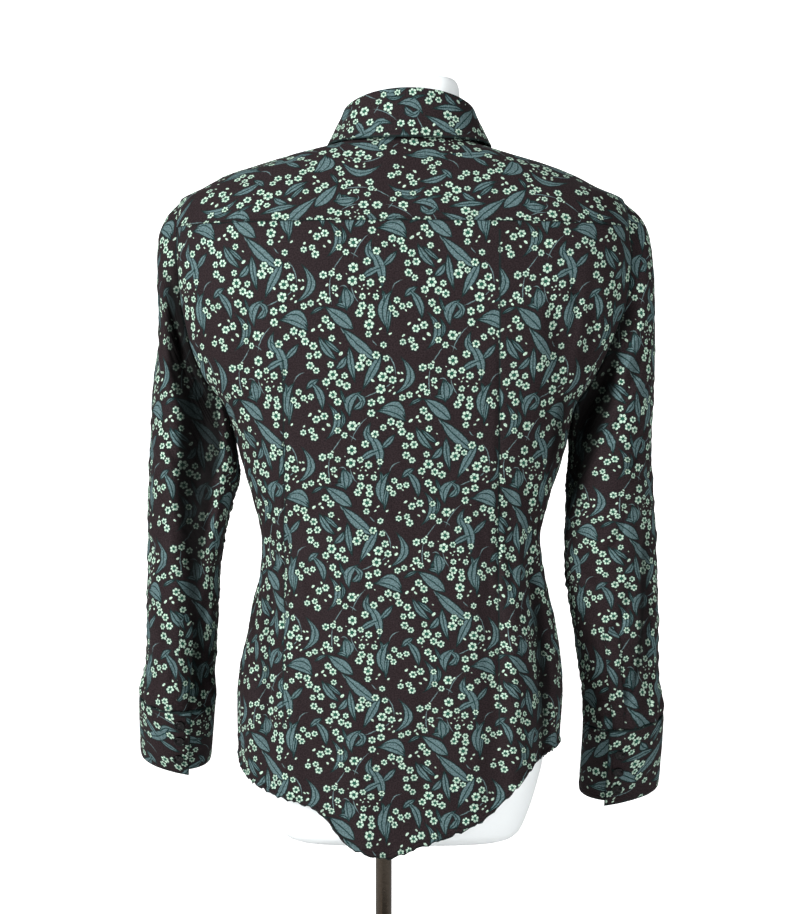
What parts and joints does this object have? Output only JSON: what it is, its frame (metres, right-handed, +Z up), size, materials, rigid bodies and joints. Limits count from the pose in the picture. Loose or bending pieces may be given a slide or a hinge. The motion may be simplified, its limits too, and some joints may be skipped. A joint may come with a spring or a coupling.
{
  "type": "shirt blouse on a dress form",
  "caption": "Long-sleeved printed shirt blouse with a collar, a curved tail hem and buttoned cuffs, worn by a limbless dress form on a pole and a round base.",
  "frame": {"origin": "centre of the base's underside, on the pole's axis", "axes": "+Z up, the front of the shirt faces -Y, +X is the wearer's left"},
  "size_m": [0.5584, 0.2984, 1.035],
  "materials": {
    "printed_cloth": "matte light plain weave, dark ground with a small leaf and flower print",
    "button": "glossy black",
    "form": "smooth white, satin",
    "steel": "polished"
  },
  "bodies": {
    "root": {"back": "printed_cloth", "button_band": "printed_cloth", "collar_fall": "printed_cloth", "collar_stand": "printed_cloth", "cuff_left": "printed_cloth", "cuff_right": "printed_cloth", "front_left": "printed_cloth", "front_right": "printed_cloth", "sleeve_left": "printed_cloth", "sleeve_right": "printed_cloth", "sleeve_placket_left": "printed_cloth", "sleeve_placket_right": "printed_cloth", "yoke": "printed_cloth", "band_button_1": "button", "band_button_2": "button", "band_button_3": "button", "band_button_4": "button", "band_button_5": "button", "band_button_6": "button", "band_button_7": "button", "collar_button": "button", "cuff_button_left_1": "button", "cuff_button_left_2": "button", "cuff_button_left_3": "button", "cuff_button_right_1": "button", "cuff_button_right_2": "button", "cuff_button_right_3": "button", "form_torso": "form", "stand_pole": "steel", "stand_base": "steel"}
  },
  "joints": []
}
